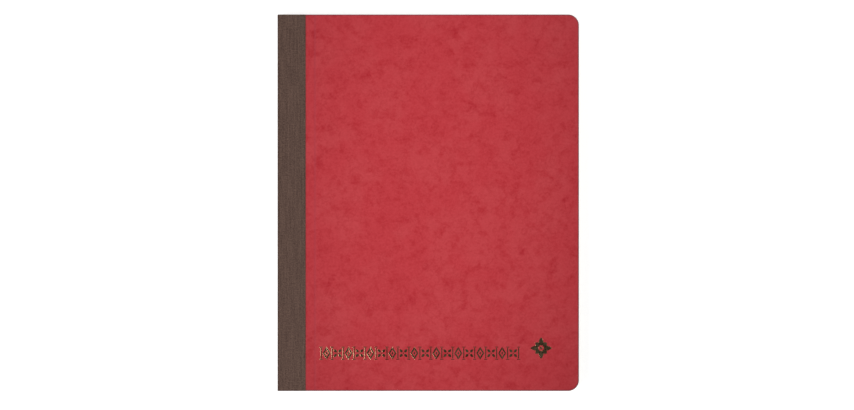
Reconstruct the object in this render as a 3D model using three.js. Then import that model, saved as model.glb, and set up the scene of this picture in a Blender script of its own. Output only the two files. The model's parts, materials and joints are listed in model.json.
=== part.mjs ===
// A quarter-bound ledger book lying shut on its back cover, spine along Y, in millimetres.
// x runs from the spine to the fore edge, y from tail to head, z from back cover to front cover.
import * as THREE from "three";

// Whole book
const bookWidth = 225;
const bookHeight = 281;
const cornerRadius = 8;

// Book cloth round the spine
const clothThickness = 0.25;
const clothOnCover = 21;
const clothInnerBend = 0.35;

// Pressboard covers, scored so that they fold clear of the wired edge
const boardThickness = 0.5;
const creaseFromSpine = 28;
const creaseGap = 0.4;

// Leaves, gathered in sections and trimmed a little inside the covers
const leafThickness = 0.11;
const leavesPerSection = 10;
const sectionCount = 8;
const turningSections = 4;
const trimInset = 0.3;

// Glue film on the back of the sections
const glueThickness = 0.3;

// Flat stitching wire, driven through the bound edge from front to back
const wireCount = 3;
const wireFromEnd = 45.5;
const wireWidth = 0.7;
const wireThickness = 0.4;
const wireFromSpine = 9;
const wireCrown = 14;
const wireClinch = 4.5;
const wireClearance = 0.15;

// Heights of the stack, from the table up
const blockBottom = clothThickness + boardThickness;
const sectionThickness = leafThickness * leavesPerSection;
const blockTop = blockBottom + sectionThickness * sectionCount;
const frontBoardTop = blockTop + boardThickness;
const bookTop = frontBoardTop + clothThickness;

// Places across the book, from the outside of the spine
const boundBack = clothThickness + glueThickness;
const boardBack = clothThickness + clothInnerBend;
const creaseLeft = creaseFromSpine - creaseGap / 2;
const creaseRight = creaseFromSpine + creaseGap / 2;

const arcSteps = 10;
const bendSteps = 5;

// Colour and surface of each stuff that the book is made of
const clothFinish = new THREE.MeshStandardMaterial({ color: 0x5a473f, roughness: 0.9 });
const boardFinish = new THREE.MeshStandardMaterial({ color: 0xb93a42, roughness: 0.6 });
const paperFinish = new THREE.MeshStandardMaterial({ color: 0xf0ead8, roughness: 0.95 });
const glueFinish = new THREE.MeshStandardMaterial({ color: 0xd8cfa8, roughness: 0.5 });
const wireFinish = new THREE.MeshStandardMaterial({ color: 0xb8bcc0, roughness: 0.35, metalness: 1 });

// The book's frame stands at the middle of its footprint.
const book = new THREE.Group();
book.position.x = -bookWidth / 2;

function addPiece(name, geometry, finish) {
  const piece = new THREE.Mesh(geometry, finish);
  piece.name = name;
  book.add(piece);
  return piece;
}

// A sheet lying flat between two heights, cut from an outline in x and y.
function flatSheet(outline, low, high) {
  const sheet = new THREE.ExtrudeGeometry(outline, {
    depth: high - low,
    bevelEnabled: false,
    curveSegments: arcSteps,
  });
  return sheet.translate(0, 0, low);
}

function rectangle(left, right, bottom, top) {
  return new THREE.Shape([
    new THREE.Vector2(left, bottom),
    new THREE.Vector2(right, bottom),
    new THREE.Vector2(right, top),
    new THREE.Vector2(left, top),
  ]);
}

// A rectangle whose two fore edge corners are rounded by the corner cutter.
function foreEdgeOutline(left, inset) {
  const right = bookWidth - inset;
  const half = bookHeight / 2 - inset;
  const radius = cornerRadius - inset;
  const outline = new THREE.Shape();
  outline.moveTo(left, -half);
  outline.lineTo(right - radius, -half);
  outline.absarc(right - radius, -half + radius, radius, -Math.PI / 2, 0, false);
  outline.lineTo(right, half - radius);
  outline.absarc(right - radius, half - radius, radius, 0, Math.PI / 2, false);
  outline.lineTo(left, half);
  outline.closePath();
  return outline;
}

// Middle of each stitching wire along the spine, spread evenly between the outer two.
const wirePitch = (bookHeight - 2 * wireFromEnd) / (wireCount - 1);
const wirePlaces = [];
for (let i = 0; i < wireCount; i += 1) {
  wirePlaces.push(wireFromEnd - bookHeight / 2 + i * wirePitch);
}

// Holes for the two legs of each wire, punched through a bound edge.
function punchLegHoles(outline) {
  const halfAcross = wireWidth / 2 + wireClearance;
  const halfAlong = wireThickness / 2 + wireClearance;
  for (const place of wirePlaces) {
    for (const side of [-1, 1]) {
      const leg = place + (side * (wireCrown - wireThickness)) / 2;
      outline.holes.push(
        rectangle(
          wireFromSpine - halfAcross,
          wireFromSpine + halfAcross,
          leg - halfAlong,
          leg + halfAlong,
        ),
      );
    }
  }
  return outline;
}

// Slots that the crowns and the clinched ends are pressed into, one for each wire.
function cutWireSlots(outline) {
  const halfAcross = wireWidth / 2 + wireClearance;
  const halfAlong = wireCrown / 2 + wireClearance;
  for (const place of wirePlaces) {
    outline.holes.push(
      rectangle(
        wireFromSpine - halfAcross,
        wireFromSpine + halfAcross,
        place - halfAlong,
        place + halfAlong,
      ),
    );
  }
  return outline;
}

// Book cloth: one strip, drawn across its width and run along the spine.
function clothGeometry() {
  const outerBend = clothInnerBend + clothThickness;
  const innerTop = bookTop - clothThickness;
  const outline = new THREE.Shape();
  outline.moveTo(clothOnCover, 0);
  outline.lineTo(clothOnCover, clothThickness);
  outline.lineTo(boardBack, clothThickness);
  outline.absarc(boardBack, outerBend, clothInnerBend, -Math.PI / 2, -Math.PI, true);
  outline.lineTo(clothThickness, innerTop - clothInnerBend);
  outline.absarc(boardBack, bookTop - outerBend, clothInnerBend, Math.PI, Math.PI / 2, true);
  outline.lineTo(clothOnCover, innerTop);
  outline.lineTo(clothOnCover, bookTop);
  outline.lineTo(outerBend, bookTop);
  outline.absarc(outerBend, bookTop - outerBend, outerBend, Math.PI / 2, Math.PI, false);
  outline.lineTo(0, outerBend);
  outline.absarc(outerBend, outerBend, outerBend, Math.PI, 1.5 * Math.PI, false);
  outline.closePath();
  const strip = new THREE.ExtrudeGeometry(outline, {
    depth: bookHeight,
    bevelEnabled: false,
    curveSegments: bendSteps,
  });
  // The outline's height turns to z, and its run to the length of the spine.
  return strip.rotateX(Math.PI / 2).translate(0, bookHeight / 2, 0);
}

addPiece("spine_cloth", clothGeometry(), clothFinish);

// Glue film between the cloth and the back of the sections
const sheetHalf = bookHeight / 2 - trimInset;
addPiece(
  "spine_glue",
  flatSheet(rectangle(clothThickness, boundBack, -sheetHalf, sheetHalf), blockBottom, blockTop),
  glueFinish,
);

// Each cover is a board with its edge strip left of the score and its panel right of it.
function addCover(side, low) {
  const high = low + boardThickness;
  const half = bookHeight / 2;
  const strip = cutWireSlots(rectangle(boardBack, creaseLeft, -half, half));
  addPiece(side + "_edge_strip", flatSheet(strip, low, high), boardFinish);
  addPiece(side + "_cover", flatSheet(foreEdgeOutline(creaseRight, 0), low, high), boardFinish);
}

addCover("back", clothThickness);
addCover("front", blockTop);

// Sections count down from the front cover. The upper ones turn at the score line, so the
// bound edge of each is apart from its leaves. The lower ones lie still and are whole.
for (let i = 1; i <= sectionCount; i += 1) {
  const high = blockTop - (i - 1) * sectionThickness;
  const low = high - sectionThickness;
  if (i <= turningSections) {
    const edge = punchLegHoles(rectangle(boundBack, creaseLeft, -sheetHalf, sheetHalf));
    addPiece("section_" + i + "_bound_edge", flatSheet(edge, low, high), paperFinish);
    const leaves = foreEdgeOutline(creaseRight, trimInset);
    addPiece("section_" + i + "_leaves", flatSheet(leaves, low, high), paperFinish);
  } else {
    const whole = punchLegHoles(foreEdgeOutline(boundBack, trimInset));
    addPiece("section_" + i, flatSheet(whole, low, high), paperFinish);
  }
}

// A stitching wire: crown on the first section, two legs, ends clinched under the last one.
function wireGeometry() {
  const crownHalf = wireCrown / 2;
  const clinchEnd = crownHalf - wireClinch;
  const top = blockTop + wireThickness;
  const bottom = blockBottom - wireThickness;
  const outline = new THREE.Shape([
    new THREE.Vector2(-crownHalf, bottom),
    new THREE.Vector2(-clinchEnd, bottom),
    new THREE.Vector2(-clinchEnd, blockBottom),
    new THREE.Vector2(-crownHalf + wireThickness, blockBottom),
    new THREE.Vector2(-crownHalf + wireThickness, blockTop),
    new THREE.Vector2(crownHalf - wireThickness, blockTop),
    new THREE.Vector2(crownHalf - wireThickness, blockBottom),
    new THREE.Vector2(clinchEnd, blockBottom),
    new THREE.Vector2(clinchEnd, bottom),
    new THREE.Vector2(crownHalf, bottom),
    new THREE.Vector2(crownHalf, top),
    new THREE.Vector2(-crownHalf, top),
  ]);
  const wire = new THREE.ExtrudeGeometry(outline, { depth: wireWidth, bevelEnabled: false });
  // The outline lies along y and z, and its thickness across the book.
  const alongY = new THREE.Vector3(0, 1, 0);
  const alongZ = new THREE.Vector3(0, 0, 1);
  const alongX = new THREE.Vector3(1, 0, 0);
  return wire
    .translate(0, 0, -wireWidth / 2)
    .applyMatrix4(new THREE.Matrix4().makeBasis(alongY, alongZ, alongX));
}

wirePlaces.forEach((place, i) => {
  const wire = addPiece("stitching_wire_" + (i + 1), wireGeometry(), wireFinish);
  wire.position.set(wireFromSpine, place, 0);
});

export default book;
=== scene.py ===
"""Dresses a quarter-bound ledger book, lying shut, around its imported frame."""

from __future__ import annotations

import json
import logging
import math
import random
from collections.abc import Callable, Sequence
from dataclasses import dataclass, field
from enum import Enum
from functools import partial

import bpy
import numpy as np
from bpy.types import ID, Material, NodeSocket, NodeTree, Object
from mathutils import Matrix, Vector


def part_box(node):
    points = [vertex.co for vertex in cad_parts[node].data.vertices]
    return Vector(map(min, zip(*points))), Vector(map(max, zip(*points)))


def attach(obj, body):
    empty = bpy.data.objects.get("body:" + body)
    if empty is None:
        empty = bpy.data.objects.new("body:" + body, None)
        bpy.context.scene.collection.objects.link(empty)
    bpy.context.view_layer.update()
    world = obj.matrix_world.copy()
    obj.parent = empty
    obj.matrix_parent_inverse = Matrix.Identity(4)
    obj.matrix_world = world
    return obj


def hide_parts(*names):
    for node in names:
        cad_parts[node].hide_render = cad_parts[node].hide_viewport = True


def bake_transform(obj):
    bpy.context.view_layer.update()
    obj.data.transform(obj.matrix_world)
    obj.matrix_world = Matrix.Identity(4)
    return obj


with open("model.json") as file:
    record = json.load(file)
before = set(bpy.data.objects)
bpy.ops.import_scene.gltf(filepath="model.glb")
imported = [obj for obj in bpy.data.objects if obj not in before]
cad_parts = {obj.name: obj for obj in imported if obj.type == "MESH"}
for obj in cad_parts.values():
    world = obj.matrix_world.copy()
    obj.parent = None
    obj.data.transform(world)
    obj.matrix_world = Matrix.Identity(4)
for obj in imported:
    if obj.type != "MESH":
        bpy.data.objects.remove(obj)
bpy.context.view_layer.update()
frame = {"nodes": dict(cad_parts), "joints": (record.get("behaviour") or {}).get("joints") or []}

log = logging.getLogger("ledger")

MM = 0.001
# The close rows of vertices at a fold reach this far past it.
FOLD_MARGIN = 0.5 * MM
# The last row of vertices across a sheet lies this far before its rounded corners.
CORNER_MARGIN = 1 * MM
# Each vertex keeps its place at rest, in millimetres, so that the patterns bend with the piece.
REST = "rest_mm"
# How near a vertex lies to a trimmed edge, and on the cloth also to its turn over the spine, from 0 to
# 1. It darkens the vertex with the cut rim's colour and painted shade.
TRIM = "trim_share"
# How much shade lies on a face that is a leaf's cut edge. It is 0 on the leaf's own faces.
CUT = "cut_shade"
# The noise texture's values lie evenly about this.
NOISE_MIDDLE = 0.5
# A sum of two directions that is shorter than this has no direction of its own.
TINY = 1e-6


class Slot(Enum):
    """Material slots of the record."""

    CLOTH = "cloth"
    PRESSBOARD = "pressboard"
    PAPER = "paper"
    GLUE = "glue"
    WIRE = "wire"
    GILT = "gilt"


def linear(hex_colour: str) -> tuple[float, float, float, float]:
    """Turns an sRGB hex colour to a linear one.

    Args:
        hex_colour: A hash and six hex digits.

    Returns:
        Linear red, green and blue, and an alpha of 1.
    """
    parts = [int(hex_colour[i : i + 2], 16) / 255 for i in (1, 3, 5)]
    red, green, blue = (c / 12.92 if c <= 0.04045 else ((c + 0.055) / 1.055) ** 2.4 for c in parts)
    return red, green, blue, 1.0


def add_node(
    tree: NodeTree,
    kind: str,
    inputs: Sequence[object] | dict[str, object] = (),
    output: str = "",
    **settings: object,
) -> NodeSocket | None:
    """Adds a node with its settings and links.

    Args:
        tree: Node tree to add to.
        kind: Blender's name for the node's type, after its ShaderNode.
        inputs: Values, or sockets that feed the node, by name or in the order of its inputs.
        output: Name of the output to give. The first one in use if left out.
        **settings: The node's own properties.

    Returns:
        The node's output, if it has one.
    """
    node = tree.nodes.new("ShaderNode" + kind)
    for name, value in settings.items():
        setattr(node, name, value)
    in_use = [socket for socket in node.inputs if socket.enabled]
    fed = inputs if isinstance(inputs, dict) else dict(enumerate(inputs))
    for key, value in fed.items():
        socket = in_use[key] if isinstance(key, int) else node.inputs[key]
        if isinstance(value, NodeSocket):
            tree.links.new(value, socket)
        else:
            socket.default_value = value
    if output:
        return node.outputs[output]
    return next((socket for socket in node.outputs if socket.enabled), None)


def new_material(name: str) -> tuple[Material, NodeTree]:
    """Makes an empty node material.

    Args:
        name: What it is made of, and how.

    Returns:
        The material and its node tree.
    """
    material = bpy.data.materials.new(name)
    material.use_nodes = True
    material.node_tree.nodes.clear()
    return material, material.node_tree


@dataclass(frozen=True)
class DyeCloud:
    """A dye in the pulp, which shows where a noise with clouds of one size lies near a level.

    The dye is full within the first reach from the level and gone beyond the second.
    """

    colour: str
    size_mm: float
    detail: float
    roughness: float
    level: float
    reach: tuple[float, float]
    strength: float
    raggedness: float = 0.0


@dataclass(frozen=True)
class MottledPressboard:
    """Pressboard: dyed paper pulp, pressed hard and calendered.

    The calender gives it a satin face, and the dyes, stirred in one after the other, leave it
    clouded, veined and blotted. The real fibres are some 0.2 mm thick, so the grain is drawn as
    coarse as it needs to show.
    """

    name: str = "mottled_pressboard"
    ground: str = "#BF3139"
    fibre: str = "#DE525A"
    # Darker cut rim, which also paints the shade along the eased edge
    rim_and_edge_shade: str = "#70434A"
    pressed: str = "#B53C48"
    # Colour, size of the clouds, detail, roughness, level, reach, strength and raggedness
    dyes: tuple[DyeCloud, ...] = (
        # Paler drifts, some centimetres wide
        DyeCloud("#C34045", 28.0, 3.0, 0.6, 0.78, (0.14, 0.38), 0.62),
        # Veins about a centimetre apart
        DyeCloud("#B31E28", 9.0, 6.0, 0.7, 0.74, (0.06, 0.28), 0.84),
        # Thin strings of dye, broken up by the flecks
        DyeCloud("#AD1B25", 21.0, 4.0, 0.6, 0.5, (0.0, 0.03), 0.35, 0.12),
        # A few crimson blots
        DyeCloud("#AB0C1E", 13.0, 3.0, 0.5, 0.82, (0.04, 0.22), 0.85, 0.3),
    )
    dye_shift: tuple[float, float, float] = (7.3, 2.1, 0.0)
    fleck_mm: float = 3.4
    grain_mm: float = 1.6
    fibre_limits: tuple[float, float] = (0.28, 0.72)
    fibre_share: float = 0.3
    pressed_share: float = 0.5
    # Painted shade: the board darkens from near its middle outwards, as the lamps' light falls off.
    falloff_centre_mm: tuple[float, float, float] = (3.0, 25.0, 0.0)
    falloff_reach_mm: tuple[float, float] = (101.0, 170.0)
    toned_power: float = 1.15
    falloff_depth: float = 0.125
    roughness: float = 0.42
    ior: float = 1.47
    relief_mm: float = 0.025
    relief_strength: float = 0.3

    def build(self, score_mm: float, score_width_mm: float) -> Material:
        """Builds the node material.

        Args:
            score_mm: Place of the score line across the book.
            score_width_mm: Width of the line that the scoring rule has polished.

        Returns:
            The finished material.
        """
        material, tree = new_material(self.name)
        rest = add_node(tree, "Attribute", output="Vector", attribute_name=REST)
        noise = {"Vector": rest, "Scale": 1 / self.grain_mm, "Detail": 3.0, "Roughness": 0.75}
        grain = add_node(tree, "TexNoise", noise)
        # Paler fibres lie everywhere in the pulp and show as a fine grain.
        limits = (grain, *self.fibre_limits, 0.0, self.fibre_share)
        fibres = add_node(tree, "MapRange", limits, interpolation_type="SMOOTHSTEP")
        # The scoring rule has pressed and polished its line.
        place = add_node(tree, "SeparateXYZ", (rest,), "X")
        off = add_node(tree, "Math", (place, score_mm), operation="SUBTRACT")
        off = add_node(tree, "Math", (off,), operation="ABSOLUTE")
        limits = (off, 0.0, score_width_mm, self.pressed_share, 0.0)
        pressed = add_node(tree, "MapRange", limits, interpolation_type="SMOOTHSTEP")
        # The rim of the board is darker: the shears leave its cut edge dark, and painted shade lies
        # along its eased edge.
        trim = add_node(tree, "Attribute", output="Fac", attribute_name=TRIM)
        colour = self.dye_pulp(tree, rest)
        for share, tone in ((fibres, self.fibre), (pressed, self.pressed), (trim, self.rim_and_edge_shade)):
            colour = add_node(tree, "Mix", (share, colour, linear(tone)), data_type="RGBA")
        # Painted shade, darker from near the board's middle outwards, multiplies the colour.
        falloff_mix = (1.0, colour, self.paint_lamp_falloff(tree, rest))
        colour = add_node(tree, "Mix", falloff_mix, data_type="RGBA", blend_type="MULTIPLY")
        bump = {"Height": grain, "Strength": self.relief_strength, "Distance": self.relief_mm * MM}
        face = {
            "Base Color": colour,
            "Roughness": self.roughness,
            "IOR": self.ior,
            "Normal": add_node(tree, "Bump", bump),
        }
        add_node(tree, "OutputMaterial", (add_node(tree, "BsdfPrincipled", face),))
        return material

    def dye_pulp(self, tree: NodeTree, rest: NodeSocket) -> NodeSocket:
        """Lays the dyes over the ground colour.

        Args:
            tree: The material's node tree.
            rest: Places at rest, in millimetres.

        Returns:
            The dyed colour.
        """
        noise = {"Vector": rest, "Scale": 1 / self.fleck_mm, "Detail": 4.0, "Roughness": 0.7}
        flecks = add_node(tree, "TexNoise", noise)
        colour: object = linear(self.ground)
        for number, dye in enumerate(self.dyes):
            # Each noise is read at a place of its own, so that the clouds don't line up.
            shifted = (rest, (1 / dye.size_mm,) * 3, tuple(number * step for step in self.dye_shift))
            place = add_node(tree, "VectorMath", shifted, operation="MULTIPLY_ADD")
            noise = {"Vector": place, "Scale": 1.0, "Detail": dye.detail, "Roughness": dye.roughness}
            cloud = add_node(tree, "TexNoise", noise)
            torn = (flecks, dye.raggedness, cloud)
            ragged = add_node(tree, "Math", torn, operation="MULTIPLY_ADD")
            level = dye.level + dye.raggedness * NOISE_MIDDLE
            off = add_node(tree, "Math", (ragged, level), operation="SUBTRACT")
            off = add_node(tree, "Math", (off,), operation="ABSOLUTE")
            limits = (off, *dye.reach, dye.strength, 0.0)
            share = add_node(tree, "MapRange", limits, interpolation_type="SMOOTHSTEP")
            colour = add_node(tree, "Mix", (share, colour, linear(dye.colour)), data_type="RGBA")
        return colour

    def paint_lamp_falloff(self, tree: NodeTree, rest: NodeSocket) -> NodeSocket:
        """Paints shade on the board, darker from near its middle outwards, as the lamps' light falls
        off.

        Args:
            tree: The material's node tree.
            rest: Places at rest, in millimetres.

        Returns:
            The share of its colour that the board keeps.
        """
        across, along = self.falloff_reach_mm
        away = add_node(tree, "VectorMath", (rest, self.falloff_centre_mm), operation="SUBTRACT")
        flattened = (away, (1 / across, 1 / along, 0.0))
        away = add_node(tree, "VectorMath", flattened, operation="MULTIPLY")
        squared = add_node(tree, "VectorMath", (away, away), operation="DOT_PRODUCT")
        steeper = add_node(tree, "Math", (squared, self.toned_power), operation="POWER")
        return add_node(tree, "Math", (steeper, -self.falloff_depth, 1.0), operation="MULTIPLY_ADD")


@dataclass(frozen=True)
class ThreadTone:
    """One unevenness in the dye of the threads: its size across and along the spine."""

    across_mm: float
    along_mm: float
    detail: float
    weight: float


@dataclass(frozen=True)
class RibbedBookCloth:
    """Cotton book cloth: woven with a rib, dyed and filled with size, so it is dull.

    The filling leaves it without gloss, the threads show as short streaks down the spine, and
    rubbing pales the ribs. Threads are 0.4 mm thick, so their streaks are drawn a few threads
    wide, which is as coarse as they need to show.
    """

    name: str = "ribbed_book_cloth"
    shade: str = "#31180E"
    light: str = "#6A5145"
    # Size across and along the spine, detail and weight
    tones: tuple[ThreadTone, ...] = (
        ThreadTone(1.1, 22.0, 4.0, 1.1),
        ThreadTone(4.0, 1.1, 2.0, 0.4),
        ThreadTone(0.9, 1.0, 3.0, 1.9),
        ThreadTone(12.0, 18.0, 2.0, 0.2),
    )
    rib_tones: tuple[float, float] = (0.38, 0.62)
    # Painted shade where the cloth turns over the spine, and darkening at its cut ends
    bend_shade: float = 0.22
    roughness: float = 0.85
    ior: float = 1.5
    sheen: float = 0.03
    relief_mm: float = 0.08
    relief_strength: float = 0.5

    def build(self, rib_pitch_mm: float) -> Material:
        """Builds the node material.

        Args:
            rib_pitch_mm: Distance from rib to rib, as in the mesh.

        Returns:
            The finished material.
        """
        material, tree = new_material(self.name)
        rest = add_node(tree, "Attribute", output="Vector", attribute_name=REST)
        across = add_node(tree, "SeparateXYZ", (rest,), "X")
        rib = add_node(tree, "Math", (across, rib_pitch_mm / 2), operation="PINGPONG")
        # Dye gathers between the ribs, and rubbing pales their crests.
        light = add_node(tree, "MapRange", (rib, 0.0, rib_pitch_mm / 2, *self.rib_tones))
        for tone in self.tones:
            drawn_out = (1 / tone.across_mm, 1 / tone.along_mm, 1.0)
            drawn = add_node(tree, "VectorMath", (rest, drawn_out), operation="MULTIPLY")
            noise = {"Vector": drawn, "Scale": 1.0, "Detail": tone.detail, "Roughness": 0.7}
            threads = add_node(tree, "TexNoise", noise)
            centred = add_node(tree, "Math", (threads, NOISE_MIDDLE), operation="SUBTRACT")
            weighed = (centred, tone.weight, light)
            light = add_node(tree, "Math", weighed, operation="MULTIPLY_ADD", use_clamp=True)
        # Painted shade darkens the cloth where it turns over the spine, and the shears have darkened
        # its ends.
        turned = add_node(tree, "Attribute", output="Fac", attribute_name=TRIM)
        darkened = (turned, -self.bend_shade, light)
        wear_and_shade = add_node(tree, "Math", darkened, operation="MULTIPLY_ADD", use_clamp=True)
        dyed = (wear_and_shade, linear(self.shade), linear(self.light))
        colour = add_node(tree, "Mix", dyed, data_type="RGBA")
        bump = {"Height": light, "Strength": self.relief_strength, "Distance": self.relief_mm * MM}
        weave = {
            "Base Color": colour,
            "Roughness": self.roughness,
            "IOR": self.ior,
            "Sheen Weight": self.sheen,
            "Normal": add_node(tree, "Bump", bump),
        }
        add_node(tree, "OutputMaterial", (add_node(tree, "BsdfPrincipled", weave),))
        return material


@dataclass(frozen=True)
class RuledLedgerPaper:
    """Writing paper: machine-finished, so it is matt and even, and printed with ledger lines.

    Pale blue rows are 8 mm apart, and double red columns part the date, the entry and the sums.
    Where the block is trimmed, its leaves show as fine lines of light and shade. Leaves are
    0.11 mm thick, so the shade is gathered between the sections, where it is coarse enough to show.
    """

    name: str = "ruled_ledger_paper"
    stock: str = "#F4ECDB"
    cloud: str = "#EBE1CB"
    row_ink: str = "#9FB4C6"
    column_ink: str = "#C0706A"
    gap_shade: str = "#AB9A80"
    row_mm: float = 8.0
    line_mm: float = 0.3
    head_mm: float = 24.0
    columns_mm: tuple[float, ...] = (18.0, 19.2, 92.0, 93.2, 124.0, 125.2, 156.0, 157.2)
    cloud_mm: float = 14.0
    # A face with less shade than this is a leaf's own face.
    least_cut_shade: float = 0.01
    roughness: float = 0.9
    ior: float = 1.5

    def build(self, gutter_mm: float, head_edge_mm: float) -> Material:
        """Builds the node material.

        Args:
            gutter_mm: Place of the score line across the book, which the columns count from.
            head_edge_mm: Place of the head edge along the book, which the rows count from.

        Returns:
            The finished material.
        """
        material, tree = new_material(self.name)
        rest = add_node(tree, "Attribute", output="Vector", attribute_name=REST)
        across = add_node(tree, "SeparateXYZ", (rest,), "X")
        along = add_node(tree, "SeparateXYZ", (rest,), "Y")
        down = add_node(tree, "Math", (head_edge_mm, along), operation="SUBTRACT")
        noise = {"Vector": rest, "Scale": 1 / self.cloud_mm, "Detail": 5.0, "Roughness": 0.7}
        clouds = add_node(tree, "TexNoise", noise)
        pulp = (clouds, linear(self.stock), linear(self.cloud))
        colour = add_node(tree, "Mix", pulp, data_type="RGBA")
        # The lines are printed on the faces of the leaves, and no ink is on their cut edges.
        cut = add_node(tree, "Attribute", output="Fac", attribute_name=CUT)
        on_face = add_node(tree, "Math", (cut, self.least_cut_shade), operation="LESS_THAN")
        inks = (
            (self.row_ink, self.draw_rows(tree, down)),
            (self.column_ink, self.draw_columns(tree, across, down, gutter_mm)),
        )
        for ink, lines in inks:
            printed = add_node(tree, "Math", (lines, on_face), operation="MULTIPLY")
            colour = add_node(tree, "Mix", (printed, colour, linear(ink)), data_type="RGBA")
        colour = add_node(tree, "Mix", (cut, colour, linear(self.gap_shade)), data_type="RGBA")
        sheet = {"Base Color": colour, "Roughness": self.roughness, "IOR": self.ior}
        add_node(tree, "OutputMaterial", (add_node(tree, "BsdfPrincipled", sheet),))
        return material

    def draw_rows(self, tree: NodeTree, down: NodeSocket) -> NodeSocket:
        """Draws the rows, which start below the head of the page.

        Args:
            tree: The material's node tree.
            down: Distance from the head edge, in millimetres.

        Returns:
            One on a line and zero off it.
        """
        phase = add_node(tree, "Math", (down, self.row_mm / 2), operation="PINGPONG")
        on_row = add_node(tree, "Math", (phase, self.line_mm / 2), operation="LESS_THAN")
        first = self.head_mm - self.line_mm
        below_head = add_node(tree, "Math", (down, first), operation="GREATER_THAN")
        return add_node(tree, "Math", (on_row, below_head), operation="MULTIPLY")

    def draw_columns(
        self, tree: NodeTree, across: NodeSocket, down: NodeSocket, gutter_mm: float
    ) -> NodeSocket:
        """Draws the columns, and the rule under the head of the page, which is in the same red.

        Args:
            tree: The material's node tree.
            across: Place across the book, in millimetres.
            down: Distance from the head edge, in millimetres.
            gutter_mm: Place that the columns count from.

        Returns:
            One on a line and zero off it.
        """
        lines = add_node(tree, "Math", (down, self.head_mm, self.line_mm), operation="COMPARE")
        for column in self.columns_mm:
            place = (across, gutter_mm + column, self.line_mm / 2)
            line = add_node(tree, "Math", place, operation="COMPARE")
            lines = add_node(tree, "Math", (lines, line), operation="MAXIMUM")
        return lines


@dataclass(frozen=True)
class GiltFoil:
    """Stamped foil: vacuum-coated metal pressed in with heat, so it is thin, bright and uneven.

    Its flat tops mirror what is overhead and its sloped edges catch the lamps as thin glints.
    """

    name: str = "gilt_foil"
    bright: str = "#D6BC92"
    rubbed: str = "#6E4629"
    patch_mm: float = 4.0
    patch_limits: tuple[float, float] = (0.4, 0.65)
    roughness: tuple[float, float] = (0.12, 0.26)

    def build(self) -> Material:
        """Builds the node material.

        Returns:
            The finished material.
        """
        material, tree = new_material(self.name)
        rest = add_node(tree, "Attribute", output="Vector", attribute_name=REST)
        noise = {"Vector": rest, "Scale": 1 / self.patch_mm, "Detail": 6.0, "Roughness": 0.75}
        patches = add_node(tree, "TexNoise", noise)
        # The metal is rubbed thin in patches, which are duller and browner.
        rubbed = add_node(tree, "MapRange", (patches, *self.patch_limits, 0.0, 1.0))
        wear_and_shade = (rubbed, linear(self.bright), linear(self.rubbed))
        colour = add_node(tree, "Mix", wear_and_shade, data_type="RGBA")
        roughness = add_node(tree, "MapRange", (rubbed, 0.0, 1.0, *self.roughness))
        foil = {"Base Color": colour, "Metallic": 1.0, "Roughness": roughness}
        add_node(tree, "OutputMaterial", (add_node(tree, "BsdfPrincipled", foil),))
        return material


@dataclass(frozen=True)
class HiddenFinish:
    """A finish in two tones, for what lies hidden under the cloth."""

    name: str
    tones: tuple[str, str]
    patch_mm: float
    detail: float
    roughness: float
    metallic: float = 0.0
    ior: float = 1.5

    def build(self) -> Material:
        """Builds the node material.

        Returns:
            The finished material.
        """
        material, tree = new_material(self.name)
        place = add_node(tree, "TexCoord", output="Object")
        noise = {"Vector": place, "Scale": 1 / (self.patch_mm * MM), "Detail": self.detail}
        mixed = (add_node(tree, "TexNoise", noise), *map(linear, self.tones))
        surface = {
            "Base Color": add_node(tree, "Mix", mixed, data_type="RGBA"),
            "Metallic": self.metallic,
            "Roughness": self.roughness,
            "IOR": self.ior,
        }
        add_node(tree, "OutputMaterial", (add_node(tree, "BsdfPrincipled", surface),))
        return material


@dataclass(frozen=True)
class DriedBindingGlue(HiddenFinish):
    """Dried dispersion glue: brushed on and left to skin over, so it is yellowish and slick."""

    name: str = "dried_binding_glue"
    tones: tuple[str, str] = ("#D8CFA8", "#C6B988")
    patch_mm: float = 3.0
    detail: float = 3.0
    roughness: float = 0.4
    ior: float = 1.48


@dataclass(frozen=True)
class GalvanisedWire(HiddenFinish):
    """Galvanised steel wire: drawn and zinc-coated, so it is grey with faint draw marks."""

    name: str = "galvanised_wire"
    tones: tuple[str, str] = ("#B9BDC0", "#8E9396")
    patch_mm: float = 0.3
    detail: float = 2.0
    roughness: float = 0.38
    metallic: float = 1.0


@dataclass(frozen=True)
class MattBackdropPaper:
    """Backdrop paper: uncoated, so it is matt, and the book's shadow lies softly on it.

    It shows white to the camera, and away from the book it pales to the white of the walls, so
    that no horizon shows.
    """

    name: str = "matt_backdrop_paper"
    paper: str = "#D2D2D2"
    own_light: tuple[float, float] = (0.63, 1.0)
    pales_between: tuple[float, float] = (0.45, 1.6)

    def build(self) -> Material:
        """Builds the node material.

        Returns:
            The finished material.
        """
        material, tree = new_material(self.name)
        seen = add_node(tree, "LightPath", output="Is Camera Ray")
        for ray in ("Is Glossy Ray", "Is Transmission Ray"):
            mirrored = add_node(tree, "LightPath", output=ray)
            seen = add_node(tree, "Math", (seen, mirrored), operation="MAXIMUM")
        place = add_node(tree, "TexCoord", output="Object")
        away = add_node(tree, "VectorMath", (place,), operation="LENGTH")
        own = add_node(tree, "MapRange", (away, *self.pales_between, *self.own_light))
        strength = add_node(tree, "Math", (seen, own), operation="MULTIPLY")
        glow = add_node(tree, "Emission", {"Strength": strength})
        paint = add_node(tree, "BsdfDiffuse", (linear(self.paper),))
        add_node(tree, "OutputMaterial", (add_node(tree, "AddShader", (paint, glow)),))
        return material


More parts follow.
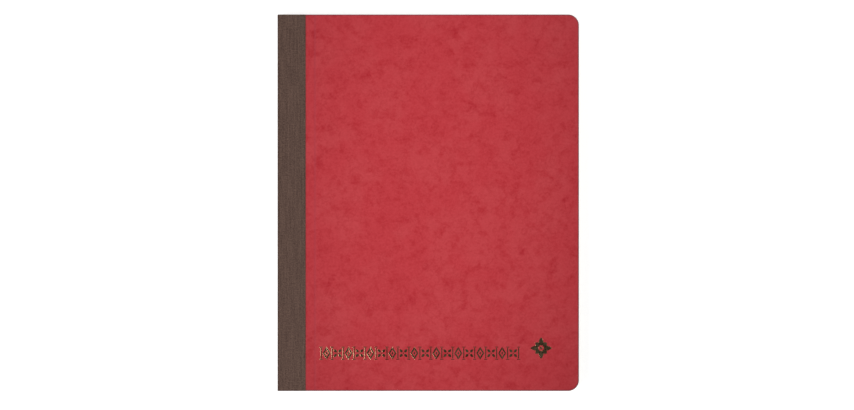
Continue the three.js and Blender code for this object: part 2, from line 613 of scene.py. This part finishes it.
@dataclass(frozen=True)
class BookSizes:
    """Places and sizes of the book, read from the frame, in metres."""

    spine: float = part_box("spine_cloth")[0].x
    fore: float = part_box("front_cover")[1].x
    half_height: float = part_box("front_cover")[1].y
    cloth_edge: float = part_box("spine_cloth")[1].x
    cloth_thickness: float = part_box("spine_glue")[0].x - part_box("spine_cloth")[0].x
    top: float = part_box("spine_cloth")[1].z
    board_back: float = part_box("front_edge_strip")[0].x
    # The front cover's hinge lies over the score line.
    score: float = next(j["pos_m"][0] for j in frame["joints"] if j["name"] == "front_cover_open")
    front_board: tuple[float, ...] = tuple(corner.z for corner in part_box("front_cover"))
    back_board: tuple[float, ...] = tuple(corner.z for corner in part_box("back_cover"))
    sheet_back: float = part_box("section_5")[0].x
    sheet_fore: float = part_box("section_5")[1].x
    sheet_half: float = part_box("section_5")[1].y
    corner: float = 8.0 * MM


def add_object(name: str, data: ID) -> Object:
    """Puts an object in the scene.

    Args:
        name: Its name.
        data: Its mesh, lamp or camera.

    Returns:
        The object.
    """
    made = bpy.data.objects.new(name, data)
    bpy.context.scene.collection.objects.link(made)
    return made


def make_piece(
    name: str,
    points: np.ndarray,
    faces: list[list[int]],
    material: Material,
    rest_mm: np.ndarray | None = None,
    trim: np.ndarray | None = None,
    cut: Sequence[float] | None = None,
    sharp_deg: float = 35.0,
) -> Object:
    """Makes a mesh piece that keeps its rest places for its material.

    Args:
        name: The piece's name.
        points: Places of the vertices, in metres.
        faces: Vertex numbers of each face.
        material: The piece's finish.
        rest_mm: Places that the patterns follow, in millimetres. The vertices' own if left out.
        trim: How near each vertex lies to a trimmed edge, from 0 to 1, which darkens it with the cut
            rim's colour and painted shade. None is if left out.
        cut: Shade on each face that is a cut edge.
        sharp_deg: Angle between faces above which an edge stays sharp.

    Returns:
        The new object.
    """
    mesh = bpy.data.meshes.new(name)
    mesh.from_pydata(points.tolist(), [], faces)
    mesh.validate()
    layers = (
        (REST, "FLOAT_VECTOR", "POINT", "vector", points / MM if rest_mm is None else rest_mm),
        (TRIM, "FLOAT", "POINT", "value", trim),
        (CUT, "FLOAT", "FACE", "value", cut),
    )
    for layer, kind, domain, key, values in layers:
        if values is not None:
            stored = mesh.attributes.new(layer, kind, domain)
            stored.data.foreach_set(key, np.ravel(values).astype(np.float32))
    mesh.shade_smooth()
    mesh.set_sharp_from_angle(angle=math.radians(sharp_deg))
    mesh.materials.append(material)
    return add_object(name, mesh)


@dataclass(frozen=True)
class SheetOutline:
    """Outline of a flat sheet whose two fore edge corners may be rounded, in metres."""

    left: float
    right: float
    half: float
    radius: float = 0.0
    arc_steps: int = 12

    def head_side(self, inset: float, stations: Sequence[float]) -> list[tuple[float, float]]:
        """Gives the head half of the outline, from the spine side to the fore edge.

        Args:
            inset: How far inside the outline the points lie.
            stations: Places across the sheet, left of its rounded corners, that get a point.

        Returns:
            Points in x and y. The tail half is their mirror image.
        """
        corner_x = self.right - self.radius
        corner_y = self.half - self.radius
        inner = self.radius - inset
        points = [(x, self.half - inset) for x in stations if x < corner_x]
        if not self.radius:
            return [*points, (self.right, self.half - inset)]
        for i in range(self.arc_steps + 1):
            turn = math.pi / 2 * (1 - i / self.arc_steps)
            points.append((corner_x + inner * math.cos(turn), corner_y + inner * math.sin(turn)))
        return points


@dataclass(frozen=True)
class Ring:
    """One copy of an outline in a sheet's edge profile."""

    height: float
    inset: float = 0.0
    trim: float = 0.0


def closed_faces(loops: int, size: int) -> list[list[int]]:
    """Joins stacked loops of vertices to a closed form.

    Args:
        loops: Number of loops. Each runs clockwise, seen from the last one.
        size: Number of vertices in a loop, whose second half runs back beside the first.

    Returns:
        Bands from loop to loop, and faces straight across the last loop and the first one.
    """
    faces = []
    last = (loops - 1) * size
    for low in range(0, last, size):
        for i in range(size):
            j = (i + 1) % size
            faces.append([low + j, low + i, low + size + i, low + size + j])
    for i in range(size // 2 - 1):
        k = size - 1 - i
        faces.append([last + i, last + k, last + k - 1, last + i + 1])
        faces.append([i, i + 1, k - 1, k])
    return faces


def layered_sheet(
    outline: SheetOutline,
    rings: Sequence[Ring],
    stations: Sequence[float],
    lift: Callable[[float, float], float] | None = None,
) -> tuple[np.ndarray, list[list[int]], np.ndarray]:
    """Builds a closed sheet from stacked copies of its outline.

    Args:
        outline: The sheet's outline.
        rings: Height and inset of each copy, from the middle of the underside up and over.
        stations: Places across the sheet that get a row of vertices.
        lift: Height to add at a place, from x and the share of the thickness.

    Returns:
        Vertices in metres, faces, and each vertex's trim share.
    """
    points: list[tuple[float, float, float]] = []
    trim: list[float] = []
    low, high = rings[0].height, rings[-1].height
    for ring in rings:
        share = (ring.height - low) / (high - low)
        head = outline.head_side(ring.inset, stations)
        for x, y in head + [(x, -y) for x, y in reversed(head)]:
            points.append((x, y, ring.height + (lift(x, share) if lift else 0.0)))
            trim.append(ring.trim)
    return np.array(points), closed_faces(len(rings), len(points) // len(rings)), np.array(trim)


def even_steps(start: float, end: float, count: int) -> list[float]:
    """Gives count + 1 places from start to end."""
    return [start + (end - start) * i / count for i in range(count + 1)]


@dataclass
class Covers:
    """The two pressboard covers, each scored beside its wired edge."""

    sizes: BookSizes
    finish: MottledPressboard = field(default_factory=MottledPressboard)
    eased_edge: float = 0.16 * MM
    # The eased edge's middle lies this share of its reach from the face and from the side.
    eased_knee: float = 0.3
    # Share of the darker rim and its painted shade at the edge of the face.
    eased_trim: float = 0.85
    rim_width: float = 1.1 * MM
    score_depth: float = 0.05 * MM
    score_width: float = 1.4 * MM
    score_spread: float = 0.84 * MM
    fold_length: float = 3.0 * MM
    fold_steps: int = 12
    # Rows of vertices lie close from this far before the score, and wide from this far beyond it.
    close_before: float = 2.5 * MM
    wide_beyond: float = 10.0 * MM
    wide_steps: int = 12
    # No row lies nearer than this to the ends of a board.
    least_step: float = 0.05 * MM

    def rings(self, low: float, high: float) -> list[Ring]:
        """Gives the edge profile of a board whose sheared edges are a little eased.

        Args:
            low: Height of its underside.
            high: Height of its top.

        Returns:
            The rings, from the middle of the underside up and over.
        """
        eased, knee = self.eased_edge, self.eased_knee * self.eased_edge
        # How far each ring lies from the face, how far inside the outline, and its trim share, which
        # darkens it with the cut rim's colour and painted shade.
        profile = (
            (0.0, self.rim_width, 0.0),
            (0.0, eased, self.eased_trim),
            (knee, knee, 1.0),
            (eased, 0.0, 1.0),
        )
        under = [Ring(low + off, inset, trim) for off, inset, trim in profile]
        return under + [Ring(high - off, inset, trim) for off, inset, trim in reversed(profile)]

    def dip(self, upward: bool, x: float, share: float) -> float:
        """Gives the dip of the score line, which is pressed in from outside.

        Args:
            upward: True where the outside of the cover is its top.
            x: Place across the book.
            share: Share of the board's thickness, from 0 at its underside to 1 at its top.

        Returns:
            Height to add.
        """
        off = (x - self.sizes.score) / self.score_spread
        depth = self.score_depth * math.exp(-off * off)
        return -depth * share if upward else depth * (1 - share)

    def stations(self, outline: SheetOutline) -> list[float]:
        """Gives the rows of vertices, close together at the score and along the fold.

        Args:
            outline: The board's outline.

        Returns:
            Places across the book.
        """
        s = self.sizes
        close_end = s.score + self.fold_length + FOLD_MARGIN
        close = even_steps(s.score - self.close_before, close_end, 2 * self.fold_steps)
        wide_end = s.fore - s.corner - CORNER_MARGIN
        wide = even_steps(s.score + self.wide_beyond, wide_end, self.wide_steps)
        first, last = outline.left + self.least_step, outline.right - self.least_step
        return [outline.left, *(x for x in close + wide if first < x < last)]

    def make_board(
        self,
        name: str,
        outline: SheetOutline,
        level: tuple[float, ...],
        upward: bool,
        board: Material,
    ) -> Object:
        """Makes one piece of board.

        Args:
            name: The piece's name.
            outline: Its outline.
            level: Heights of its underside and its top.
            upward: True where the outside of the cover is its top.
            board: The board's material.

        Returns:
            The board's object.
        """
        rings, rows = self.rings(*level), self.stations(outline)
        points, faces, trim = layered_sheet(outline, rings, rows, partial(self.dip, upward))
        piece = make_piece(name, points, faces, board, trim=trim)
        return piece

    def bend(self, piece: Object, still: str, turning: str, height: float) -> None:
        """Bakes a board's place into its mesh."""
        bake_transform(piece)

    def build(self) -> list[Object]:
        """Builds the boards: the front one in two pieces, since its bound edge stays behind.

        Returns:
            The front board's edge, the front board and the back board.
        """
        s = self.sizes
        board = self.finish.build(s.score / MM, self.score_width / MM)
        bound_edge = SheetOutline(s.board_back, s.score, s.half_height)
        edge = self.make_board("front_board_edge", bound_edge, s.front_board, True, board)
        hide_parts("front_edge_strip")
        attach(edge, "binding")
        panel = SheetOutline(s.score, s.fore, s.half_height, s.corner)
        front = self.make_board("front_board", panel, s.front_board, True, board)
        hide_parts("front_cover")
        self.bend(front, "leaves_1", "front_cover", s.front_board[0])
        whole = SheetOutline(s.board_back, s.fore, s.half_height, s.corner)
        back = self.make_board("back_board", whole, s.back_board, False, board)
        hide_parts("back_edge_strip", "back_cover")
        self.bend(back, "binding", "back_cover", s.back_board[1])
        return [edge, front, back]


@dataclass
class LeafBlock:
    """The sections of ruled leaves, each leaf a sheet of its own."""

    sizes: BookSizes
    finish: RuledLedgerPaper = field(default_factory=RuledLedgerPaper)
    turning: int = 4
    sections: int = 8
    leaves: int = 10
    air: float = 0.022 * MM
    # The leaves are trimmed this far inside the covers, and their corners with them.
    trim_inset: float = 0.3 * MM
    trim_scatter: float = 0.07 * MM
    arc_steps: int = 8
    leaf_shade: tuple[float, float] = (0.03, 0.3)
    gap_shade: float = 0.65
    fold_length: float = 6.0 * MM
    fold_steps: int = 16
    seed: int = 11

    def stations(self) -> list[float]:
        """Gives the rows of vertices, close together along the fold.

        Returns:
            Places across the book.
        """
        s = self.sizes
        close = even_steps(s.score - FOLD_MARGIN, s.score + self.fold_length, self.fold_steps)
        return [s.sheet_back, *close, s.sheet_fore - s.corner - CORNER_MARGIN]

    def build_section(self, number: int, low: float, high: float, paper: Material) -> Object:
        """Builds one section.

        Args:
            number: The section's number, counted from the front cover.
            low: Height of its underside.
            high: Height of its top.
            paper: The leaves' material.

        Returns:
            The section's object.
        """
        s = self.sizes
        chance = random.Random(self.seed + number)
        pitch = (high - low) / self.leaves
        points, faces, cut = [], [], []
        for i in range(self.leaves):
            floor = low + i * pitch
            trim = chance.uniform(0, self.trim_scatter)
            slant = chance.uniform(-0.5, 0.5) * self.trim_scatter
            half = s.sheet_half - trim - abs(slant)
            radius = s.corner - self.trim_inset
            outline = SheetOutline(s.sheet_back, s.sheet_fore - trim, half, radius, self.arc_steps)
            rings = (Ring(floor + self.air / 2), Ring(floor + pitch - self.air / 2))
            leaf, leaf_faces, _ = layered_sheet(outline, rings, self.stations())
            leaf[:, 1] += slant
            # Shade lies deepest where two sections meet.
            outermost = i in (0, self.leaves - 1)
            shade = self.gap_shade if outermost else chance.uniform(*self.leaf_shade)
            cut += [shade if np.ptp(leaf[face, 2]) > 0 else 0.0 for face in leaf_faces]
            first = sum(map(len, points))
            faces += [[first + v for v in face] for face in leaf_faces]
            points.append(leaf)
        piece = make_piece(f"section_{number}_sheets", np.vstack(points), faces, paper, cut=cut)
        if number > self.turning:
            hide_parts(f"section_{number}")
            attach(piece, "binding")
            return piece
        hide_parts(f"section_{number}_bound_edge", f"section_{number}_leaves")
        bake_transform(piece)
        return piece

    def build(self) -> list[Object]:
        """Builds all the sections.

        Returns:
            The sections from the front cover down.
        """
        paper = self.finish.build(self.sizes.score / MM, self.sizes.sheet_half / MM)
        made = []
        for number in range(1, self.sections + 1):
            node = f"section_{number}_leaves" if number <= self.turning else f"section_{number}"
            low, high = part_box(node)
            made.append(self.build_section(number, low.z, high.z, paper))
        return made


@dataclass
class SpineCloth:
    """The strip of book cloth folded round the spine, ribbed along its length."""

    sizes: BookSizes
    finish: RibbedBookCloth = field(default_factory=RibbedBookCloth)
    rib_pitch: float = 1.02 * MM
    rib_height: float = 0.07 * MM
    steps_per_rib: int = 8
    bend: float = 0.6 * MM
    bend_steps: int = 6
    bend_shade_width: float = 1.5 * MM
    trim_width: float = 0.9 * MM
    length_steps: int = 24

    def outside(self) -> np.ndarray:
        """Follows the outside of the strip across its width.

        Returns:
            For each point, x, z and the outward direction in x and z, from the back cover's edge
            round the spine to the front cover's edge.
        """
        s = self.sizes
        step = self.rib_pitch / self.steps_per_rib
        turn_x = s.spine + self.bend
        flat = even_steps(s.cloth_edge, turn_x, round((s.cloth_edge - turn_x) / step))
        under = [(x, 0.0, 0.0, -1.0) for x in flat]
        for turn in even_steps(0.0, math.pi / 2, self.bend_steps)[1:-1]:
            out_x, out_z = -math.sin(turn), -math.cos(turn)
            under.append((turn_x + self.bend * out_x, self.bend + self.bend * out_z, out_x, out_z))
        rise = even_steps(self.bend, s.top - self.bend, round((s.top - 2 * self.bend) / step))
        upright = [(s.spine, z, -1.0, 0.0) for z in rise]
        over = [(x, s.top - z, out_x, -out_z) for x, z, out_x, out_z in reversed(under)]
        return np.array(under + upright + over)

    def build(self) -> Object:
        """Builds the strip.

        Returns:
            The strip's object.
        """
        s = self.sizes
        x, z, out_x, out_z = self.outside().T
        along = np.cumsum(np.hypot(np.diff(x, prepend=x[0]), np.diff(z, prepend=z[0])))
        width = float(along[-1])
        sink = self.rib_height * (0.5 + 0.5 * np.cos(2 * math.pi * along / self.rib_pitch))
        outer, inner = (
            np.column_stack((x - out_x * depth, z - out_z * depth))
            for depth in (sink, s.cloth_thickness)
        )
        section = [*inner, *outer[::-1]]
        spread = np.concatenate((along, along[::-1]))
        # Painted shade darkens the cloth where it turns over the spine.
        shoulder = s.cloth_edge - s.spine
        off = np.minimum(abs(spread - shoulder), abs(width - shoulder - spread))
        turned = np.exp(-((off / self.bend_shade_width) ** 2))
        trimmed = s.half_height - self.trim_width
        rows = [-s.half_height, *even_steps(-trimmed, trimmed, self.length_steps), s.half_height]
        piece = make_piece(
            "spine_cloth_strip",
            np.array([(x, y, z) for y in rows for x, z in section]),
            closed_faces(len(rows), len(section)),
            self.finish.build(self.rib_pitch / MM),
            rest_mm=np.array([(a / MM, y / MM, 0.0) for y in rows for a in spread]),
            trim=np.array([max(t, float(abs(y) > trimmed)) for y in rows for t in turned]),
            sharp_deg=60,
        )
        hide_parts("spine_cloth")
        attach(piece, "binding")
        log.info("book cloth is %.1f mm wide when flat", width / MM)
        return piece


Outline = list[tuple[float, float]]


def bar(x: float, y: float, width: float, height: float) -> Outline:
    """Gives an upright bar round a centre."""
    w, h = width / 2, height / 2
    return [(x - w, y - h), (x + w, y - h), (x + w, y + h), (x - w, y + h)]


def lozenge(x: float, y: float, half_width: float, half_height: float) -> Outline:
    """Gives a solid lozenge round a centre."""
    return [(x - half_width, y), (x, y - half_height), (x + half_width, y), (x, y + half_height)]


@dataclass(frozen=True)
class Flower:
    """A stamped flower of pointed petals round a small lozenge, in millimetres."""

    petals: int
    # Distance from the flower's centre to the petals' points, which may differ in turn.
    reach: tuple[float, float]
    root: float
    half_width: float
    core: float
    # Direction of the first petal, in radians.
    turn: float = 0.0
    steps: int = 7
    # Powers that bring a petal's belly nearer its root and round it out.
    belly: float = 0.8
    fullness: float = 0.9

    def petal(self, reach: float) -> Outline:
        """Gives a petal that runs out along x from a centre.

        Args:
            reach: Distance from the centre to its point.

        Returns:
            The petal's outline.
        """
        sides: Outline = []
        for i in range(2 * self.steps):
            along = (i if i < self.steps else 2 * self.steps - i) / self.steps
            side = -1 if i < self.steps else 1
            bulge = math.sin(math.pi * along**self.belly) ** self.fullness if 0 < along < 1 else 0.0
            sides.append((self.root + (reach - self.root) * along, side * self.half_width * bulge))
        return sides

    def outlines(self, x: float, y: float) -> list[Outline]:
        """Lays out the flower round a centre.

        Args:
            x: Centre across the book.
            y: Centre along the book.

        Returns:
            The outlines of its core and its petals.
        """
        shapes = [lozenge(x, y, self.core, self.core)]
        for i in range(self.petals):
            turn = self.turn + 2 * math.pi * i / self.petals
            c, s = math.cos(turn), math.sin(turn)
            petal = self.petal(self.reach[i % 2])
            shapes.append([(x + u * c - v * s, y + u * s + v * c) for u, v in petal])
        return shapes


@dataclass
class GiltStamping:
    """Gilt foil stamped low on the front cover: a bookbinder's frieze and a rosette.

    Places count in millimetres from the spine and the tail edge.
    """

    sizes: BookSizes
    finish: GiltFoil = field(default_factory=GiltFoil)
    frieze_span: tuple[float, float] = (32.6, 180.0)
    frieze_middle: float = 28.2
    frieze_height: float = 10.0
    # Open lozenges and flowers stand in these in turn.
    frieze_panels: int = 18
    frieze_flower: Flower = Flower(
        petals=4, reach=(4.2, 4.2), root=0.84, half_width=1.0625, core=0.672, turn=math.pi / 4
    )
    # Half width of an open lozenge, as a share of its panel.
    lozenge_share: float = 0.38
    lozenge_core: tuple[float, float] = (0.775, 1.375)
    stroke: float = 1.25
    bar_size: tuple[float, float] = (0.9, 8.02)
    cap_size: tuple[float, float] = (2.52, 0.72)
    cap_middle: float = 4.55
    rosette_centre: tuple[float, float] = (196.8, 32.0)
    rosette: Flower = Flower(petals=8, reach=(8.2, 6.068), root=1.64, half_width=1.886, core=1.23)
    bevel: float = 0.115
    # At a sharp point the bevel reaches in by no more than its width divided by this.
    least_mitre: float = 0.5
    # Height of the foil. At the frieze's spine end its edges stand higher and catch more light.
    relief: tuple[float, float] = (0.034, 0.011)
    relief_span: tuple[float, float] = (36.0, 120.0)
    rosette_relief: tuple[float, float] = (0.022, 0.022)
    sunk: float = 0.02

    def open_lozenge(self, x: float, y: float, half_width: float, half_height: float) -> list[Outline]:
        """Gives an open lozenge round a centre.

        Args:
            x: Centre across the book.
            y: Centre along the book.
            half_width: Half its width.
            half_height: Half its height.

        Returns:
            The outlines of its four strokes.
        """
        outer = lozenge(x, y, half_width, half_height)
        share = 1 - self.stroke * math.hypot(half_width, half_height) / (half_width * half_height)
        inner = lozenge(x, y, half_width * share, half_height * share)
        return [[outer[i - 1], outer[i], inner[i], inner[i - 1]] for i in range(len(outer))]

    def frieze(self) -> list[Outline]:
        """Lays out the frieze: open lozenges and flowers in turn, parted by capped bars.

        Returns:
            The outlines.
        """
        left, right = self.frieze_span
        y = self.frieze_middle
        panel = (right - left) / self.frieze_panels
        shapes: list[Outline] = []
        for i in range(self.frieze_panels):
            x = left + (i + 0.5) * panel
            if i % 2:
                shapes += self.frieze_flower.outlines(x, y)
            else:
                half_width, half_height = panel * self.lozenge_share, self.frieze_height / 2
                shapes += self.open_lozenge(x, y, half_width, half_height)
                shapes.append(lozenge(x, y, *self.lozenge_core))
        for i in range(self.frieze_panels + 1):
            x = left + i * panel
            shapes.append(bar(x, y, *self.bar_size))
            for cap in (y - self.cap_middle, y + self.cap_middle):
                shapes.append(bar(x, cap, *self.cap_size))
        return shapes

    def inset(self, shape: Outline) -> Outline:
        """Draws an outline in by the width of the bevel.

        Args:
            shape: The outline, counter-clockwise.

        Returns:
            The outline of the foil's flat top.
        """
        drawn = []
        for i, (x, y) in enumerate(shape):
            before, after = shape[i - 1], shape[(i + 1) % len(shape)]
            a = Vector((x - before[0], y - before[1])).normalized()
            b = Vector((after[0] - x, after[1] - y)).normalized()
            square = Vector((-a.y, a.x))
            inward = Vector((-a.y - b.y, a.x + b.x))
            # Where the outline turns right back, both sides' inward directions cancel out.
            inward = (inward if inward.length > TINY else square).normalized()
            reach = self.bevel / max(self.least_mitre, inward.dot(square))
            drawn.append((x + inward.x * reach, y + inward.y * reach))
        return drawn

    def stamp(
        self, name: str, shapes: Sequence[Outline], relief: tuple[float, float], foil: Material
    ) -> Object:
        """Presses flat shapes on the cover as foil with sloped edges.

        Args:
            name: The piece's name.
            shapes: Outlines, counter-clockwise.
            relief: Height of the foil at the spine end and at the fore edge end.
            foil: The foil's material.

        Returns:
            The foil's object.
        """
        s = self.sizes
        points, faces = [], []
        for shape in shapes:
            start, size = len(points), len(shape)
            height = float(np.interp(shape[0][0], self.relief_span, relief))
            for level, outline in ((-self.sunk, shape), (height, self.inset(shape))):
                z = s.front_board[1] + level * MM
                points += [(s.spine + x * MM, -s.half_height + y * MM, z) for x, y in outline]
            faces.append([start + i for i in reversed(range(size))])
            faces.append([start + size + i for i in range(size)])
            for i in range(size):
                j = (i + 1) % size
                faces.append([start + i, start + j, start + size + j, start + size + i])
        piece = make_piece(name, np.array(points), faces, foil, sharp_deg=20)
        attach(piece, "front_cover")
        return piece

    def build(self) -> list[Object]:
        """Builds the stamping.

        Returns:
            The frieze and the rosette.
        """
        foil = self.finish.build()
        rosette = self.rosette.outlines(*self.rosette_centre)
        return [
            self.stamp("gilt_frieze", self.frieze(), self.relief, foil),
            self.stamp("gilt_rosette", rosette, self.rosette_relief, foil),
        ]


@dataclass(frozen=True)
class SoftLamp:
    """One square soft box."""

    name: str
    place: tuple[float, float, float]
    size: float
    power: float

    def build(self) -> None:
        """Hangs the lamp and aims it at the book."""
        data = bpy.data.lights.new(self.name, "AREA")
        data.shape = "SQUARE"
        data.size = self.size
        data.energy = self.power
        lamp = add_object(self.name, data)
        lamp.location = self.place
        lamp.rotation_euler = (-lamp.location).to_track_quat("-Z", "Y").to_euler()


@dataclass
class Studio:
    """A copying stand: a camera that looks straight down, lamps at the sides and a dim ceiling."""

    sizes: BookSizes
    photo_width: int = 854
    photo_height: int = 410
    book_left_px: float = 277.45
    book_right_px: float = 578.9
    book_top_px: float = 14.75
    book_bottom_px: float = 390.7
    lens_mm: float = 100.0
    sensor_mm: float = 36.0
    clip_end: float = 20.0
    floor_finish: MattBackdropPaper = field(default_factory=MattBackdropPaper)
    floor_size: float = 6.0
    floor_gap: float = 0.02 * MM
    floor_step: float = 3.4 * MM
    walls: float = 1.0
    ceiling: float = 0.1
    ceiling_starts: float = 0.42
    ceiling_full: float = 0.85
    lamps: tuple[SoftLamp, ...] = (
        SoftLamp("main_lamp", (-1.02, -0.48, 0.8), 0.8, 12.0),
        SoftLamp("fill_lamp", (0.9, 0.6, 0.75), 0.8, 4.8),
    )

    def build_camera(self) -> None:
        """Builds the camera so that the front cover fills the same pixels as in the photograph."""
        s = self.sizes
        pixel = (s.fore - s.spine) / (self.book_right_px - self.book_left_px)
        off_x = (self.book_left_px + self.book_right_px - self.photo_width) / 2 * pixel
        off_y = (self.photo_height - self.book_top_px - self.book_bottom_px) / 2 * pixel
        reach = self.photo_width * pixel * self.lens_mm / self.sensor_mm
        data = bpy.data.cameras.new("camera")
        data.lens = self.lens_mm
        data.sensor_width = self.sensor_mm
        data.clip_end = self.clip_end
        camera = add_object("camera", data)
        camera.location = ((s.spine + s.fore) / 2 - off_x, -off_y, s.front_board[1] + reach)
        bpy.context.scene.camera = camera

    def build_floor(self) -> None:
        """Builds the pale floor, which keeps the book's shadow.

        It steps down along the spine, as the edge of a board does, so that the back cover has
        room to fold back under the book.
        """
        half = self.floor_size / 2
        low = -self.floor_gap - self.floor_step
        edge = self.sizes.spine
        profile = [(-half, low), (edge, low), (edge, -self.floor_gap), (half, -self.floor_gap)]
        corners = [(x, y, z) for y in (-half, half) for x, z in profile]
        row = len(profile)
        mesh = bpy.data.meshes.new("floor")
        mesh.from_pydata(corners, [], [(i, i + 1, i + row + 1, i + row) for i in range(row - 1)])
        mesh.materials.append(self.floor_finish.build())
        add_object("floor", mesh)

    def build_room(self) -> None:
        """Builds the room: walls as white as the floor's paper, under a dim ceiling."""
        world = bpy.data.worlds.new("room")
        world.use_nodes = True
        tree = world.node_tree
        tree.nodes.clear()
        direction = add_node(tree, "TexCoord", output="Generated")
        up = add_node(tree, "SeparateXYZ", (direction,), "Z")
        limits = (up, self.ceiling_starts, self.ceiling_full, self.walls, self.ceiling)
        light = add_node(tree, "MapRange", limits, interpolation_type="SMOOTHSTEP")
        room = add_node(tree, "Background", {"Color": (1.0, 1.0, 1.0, 1.0), "Strength": light})
        add_node(tree, "OutputWorld", (room,))
        bpy.context.scene.world = world

    def build(self) -> None:
        """Builds the stage."""
        self.build_camera()
        self.build_floor()
        self.build_room()
        for lamp in self.lamps:
            lamp.build()
        bpy.context.scene.view_settings.view_transform = "Standard"


@dataclass
class HiddenFastenings:
    """The glue film and the stitching wires, which keep their solids and get a finish."""

    nodes: dict[str, Object]
    wires: int = 3

    def dress(self, node: str, finish: Material) -> Object:
        """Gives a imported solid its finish.

        Args:
            node: The solid's name.
            finish: Its material.

        Returns:
            The solid's object.
        """
        solid = self.nodes[node]
        solid.data.materials.clear()
        solid.data.materials.append(finish)
        return solid

    def build(self) -> list[Object]:
        """Dresses the glue and the wires.

        Returns:
            Their objects.
        """
        made = [self.dress("spine_glue", DriedBindingGlue().build())]
        wire = GalvanisedWire().build()
        for number in range(1, self.wires + 1):
            made.append(self.dress(f"stitching_wire_{number}", wire))
        return made


def main() -> None:
    """Builds the book and its stage, and reports each piece."""
    logging.basicConfig(level=logging.INFO, format="%(name)s: %(message)s")
    sizes = BookSizes()
    Studio(sizes).build()
    made = Covers(sizes).build()
    made += LeafBlock(sizes).build()
    made.append(SpineCloth(sizes).build())
    made += GiltStamping(sizes).build()
    made += HiddenFastenings(frame["nodes"]).build()
    for piece in made:
        log.info("%s: %d faces", piece.name, len(piece.data.polygons))


if __name__ == "__main__":
    main()
